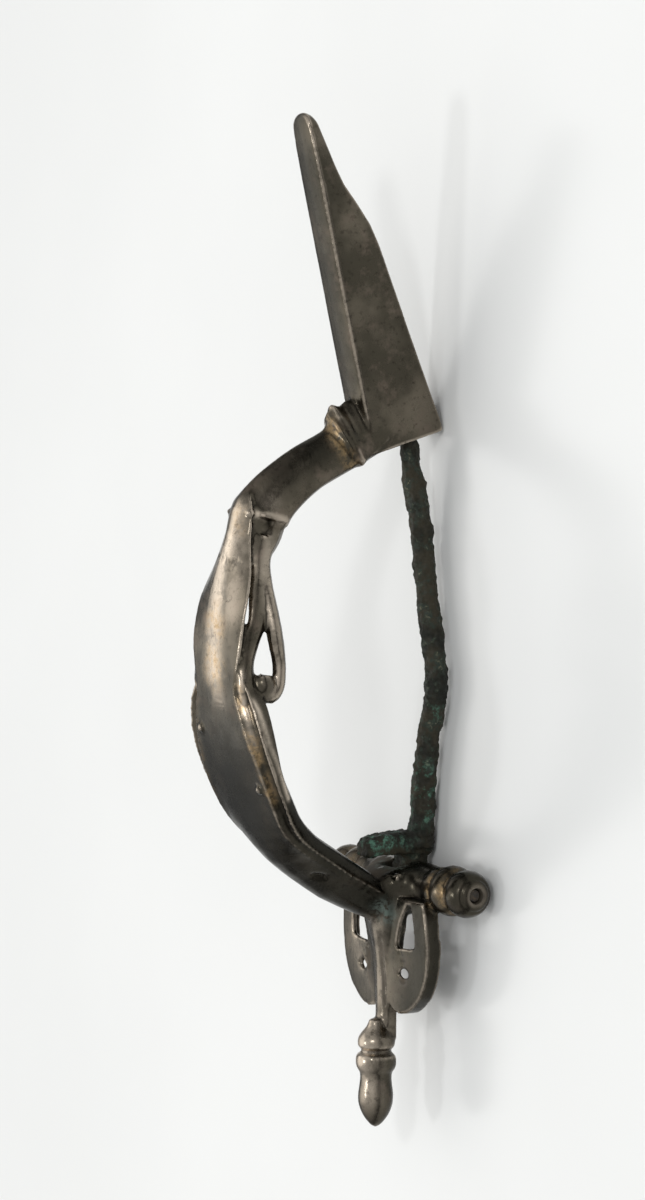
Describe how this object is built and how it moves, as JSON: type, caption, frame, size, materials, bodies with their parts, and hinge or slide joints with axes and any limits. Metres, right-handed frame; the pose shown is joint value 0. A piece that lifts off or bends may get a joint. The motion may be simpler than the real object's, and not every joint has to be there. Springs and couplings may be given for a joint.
{
  "type": "fibula brooch",
  "caption": "Cast bow brooch with a tapering sheath foot, an openwork scrolled bow, a ringed crossbar, a pierced head plate and a hinged pin, lying on its back.",
  "frame": {"origin": "the middle of the length and width, on the surface the brooch rests on", "axes": "+X from the knob at the head to the tip of the foot, +Y across the brooch along the hinge, +Z from the back with the pin to the front of the bow"},
  "size_m": [0.0894, 0.0232, 0.0221],
  "materials": {
    "toned_silver": "worn and toned silver with traces of gilding",
    "corroded_copper_alloy": "rough dark corrosion with green deposits",
    "axle_metal": "dull brown corrosion"
  },
  "bodies": {
    "casting": {"brooch_body": "toned_silver", "hinge_axle": "axle_metal"},
    "pin": {"pin": "corroded_copper_alloy"}
  },
  "joints": [
    {"name": "pin_hinge", "type": "hinge", "parent": "casting", "child": "pin", "pos_m": [-0.02268, 0, 0.0023], "axis": [0, 1, 0], "range_deg": [0, 90]}
  ]
}
